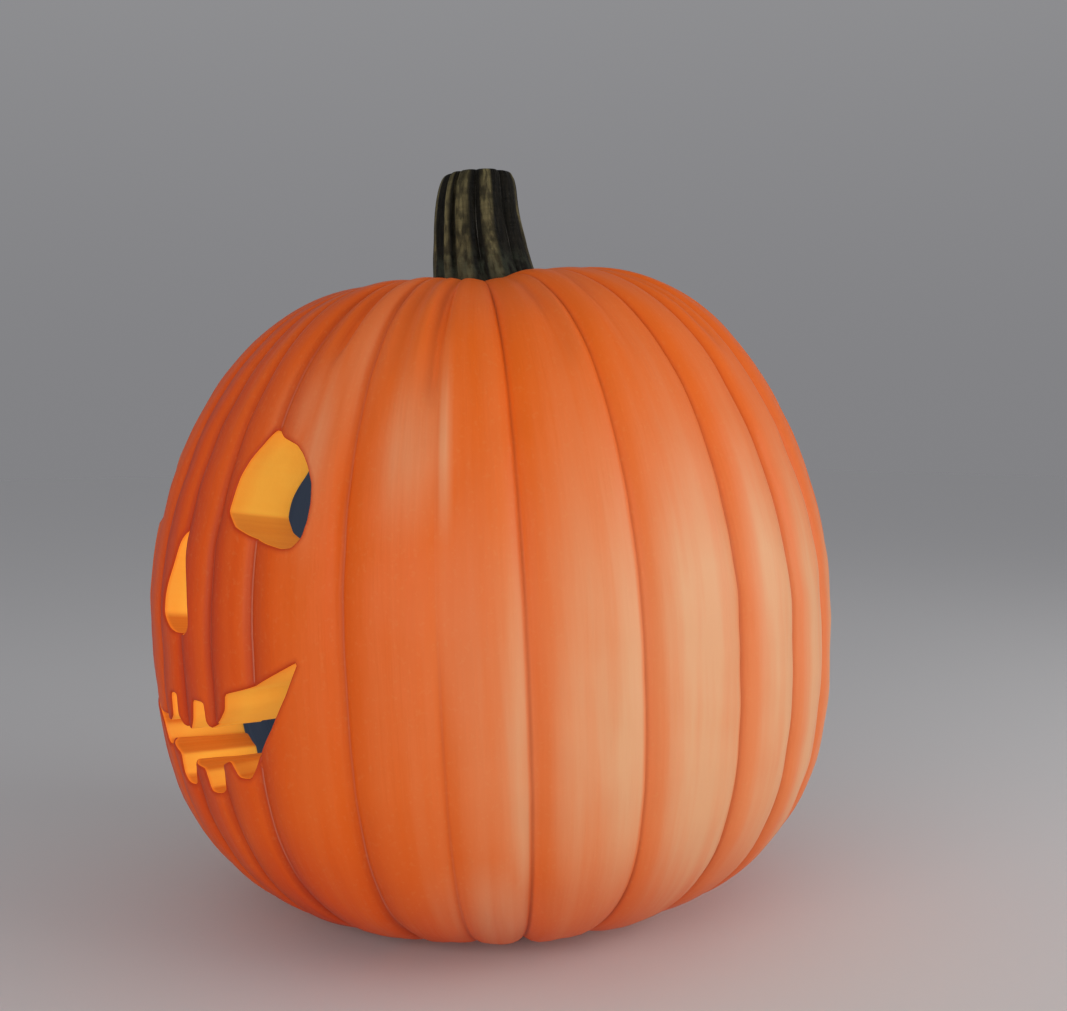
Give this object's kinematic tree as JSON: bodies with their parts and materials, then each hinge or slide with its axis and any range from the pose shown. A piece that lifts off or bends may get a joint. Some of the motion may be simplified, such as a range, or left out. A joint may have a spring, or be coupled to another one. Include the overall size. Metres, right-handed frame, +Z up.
{
  "type": "carved pumpkin lantern",
  "caption": "Hollow ribbed pumpkin with its stem, carved with eyes, a nose and a toothed mouth, to stand as a lantern.",
  "frame": {"origin": "on the surface the pumpkin stands on, under the middle of its bounding box", "axes": "+Z up, the carved face looks along -Y, +X to the fruit's left"},
  "size_m": [0.2993, 0.3002, 0.3228],
  "materials": {
    "rind": "waxy satin orange pumpkin rind with finer streaks and redder grooves",
    "flesh": "moist cut pumpkin flesh, yellow-orange and lit from inside",
    "hollow": "dark scraped inside in deep shade",
    "stem": "dry ribbed stem, near-black green with olive streaks"
  },
  "bodies": {
    "root": {"carved_pumpkin": "rind"}
  },
  "joints": []
}
